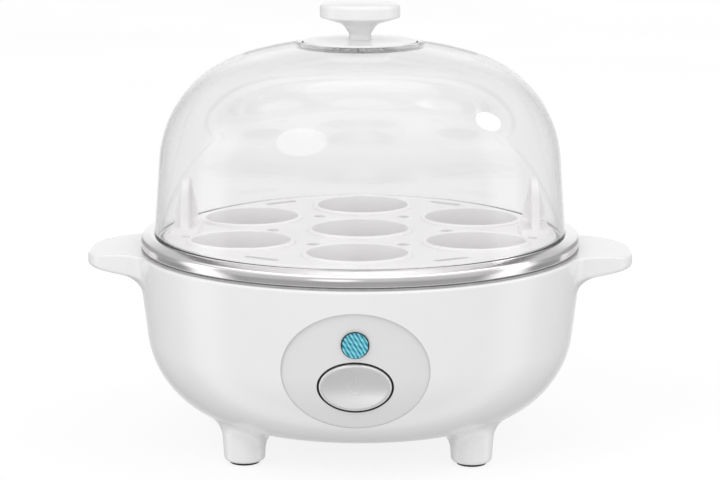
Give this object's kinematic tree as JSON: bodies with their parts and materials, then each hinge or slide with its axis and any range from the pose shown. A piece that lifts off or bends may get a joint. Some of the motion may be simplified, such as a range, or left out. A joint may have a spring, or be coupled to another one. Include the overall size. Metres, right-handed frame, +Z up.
{
  "type": "egg cooker",
  "caption": "Bowl-shaped electric egg cooker with ear handles, short legs, a metal pan, a lift-out egg tray, a clear domed lid with a knob, an indicator and a push button.",
  "frame": {"origin": "on the table under the middle of the cooker", "axes": "+Z up, the control panel faces -Y, the ears lie along X"},
  "size_m": [0.1906, 0.1568, 0.1559],
  "materials": {
    "white_shell": "glossy white moulded plastic",
    "white_tray": "satin white moulded plastic",
    "clear_lid": "clear glossy plastic",
    "white_knob": "glossy white moulded plastic",
    "pan_steel": "spun and brushed stainless steel",
    "silver_button": "silver-grey lacquered plastic",
    "blue_lens": "translucent blue plastic with a prismatic pattern",
    "black_rubber": "moulded rubber",
    "grey_silicone": "silicone rubber",
    "grey_plastic": "grained light grey plastic",
    "black_plastic": "black moulded plastic",
    "zinc_steel": "zinc plated steel",
    "aluminium": "rolled aluminium",
    "tube_steel": "annealed heater sheath",
    "brass_blade": "tinned brass",
    "ceramic": "glazed ceramic",
    "board_green": "glass fibre board with solder resist",
    "lamp_glass": "clear glass",
    "lead_insulation": "braided glass sleeve",
    "nylon": "natural nylon"
  },
  "bodies": {
    "base": {"body_shell": "white_shell", "foot_pad_front_left": "black_rubber", "foot_pad_front_right": "black_rubber", "foot_pad_rear_left": "black_rubber", "foot_pad_rear_right": "black_rubber", "bottom_cover": "grey_plastic", "cover_screws": "zinc_steel", "tie_screws": "zinc_steel", "heating_pan": "pan_steel", "pan_seal": "grey_silicone", "heat_spreader": "aluminium", "heater_tube": "tube_steel", "heater_terminals": "brass_blade", "pan_bracket": "zinc_steel", "pan_studs": "zinc_steel", "stud_nuts": "zinc_steel", "thermostat": "ceramic", "thermostat_tabs": "brass_blade", "thermostat_clip": "zinc_steel", "thermal_fuse": "zinc_steel", "indicator_lens": "blue_lens", "switch_bracket": "zinc_steel", "bracket_screws": "zinc_steel", "switch_body": "black_plastic", "switch_tabs": "brass_blade", "button_spring": "zinc_steel", "control_board": "board_green", "buzzer": "black_plastic", "indicator_lamp": "lamp_glass", "terminal_block": "nylon", "block_screws": "zinc_steel", "cord_gland": "black_plastic", "gland_nut": "black_plastic", "lead_live": "lead_insulation", "lead_switched": "lead_insulation", "lead_fuse": "lead_insulation", "lead_heater": "lead_insulation", "lead_neutral": "lead_insulation", "lead_lamp_left": "lead_insulation", "lead_lamp_right": "lead_insulation"},
    "tray": {"egg_tray": "white_tray"},
    "lid": {"lid_dome": "clear_lid", "lid_knob": "white_knob", "lid_screw": "zinc_steel", "lid_washer": "grey_silicone"},
    "button": {"power_button": "silver_button", "switch_plunger": "black_plastic"}
  },
  "joints": [
    {"name": "tray_lift", "type": "slide", "parent": "base", "child": "tray", "axis": [0, 0, 1], "range_m": [0, 0.06]},
    {"name": "lid_lift", "type": "slide", "parent": "tray", "child": "lid", "axis": [0, 0, 1], "range_m": [0, 0.09]},
    {"name": "button_press", "type": "slide", "parent": "base", "child": "button", "axis": [0, 1, 0], "range_m": [0, 0.002], "stiffness_N_per_m": 600, "springref_m": -0.001, "deforming": ["button_spring"]}
  ]
}
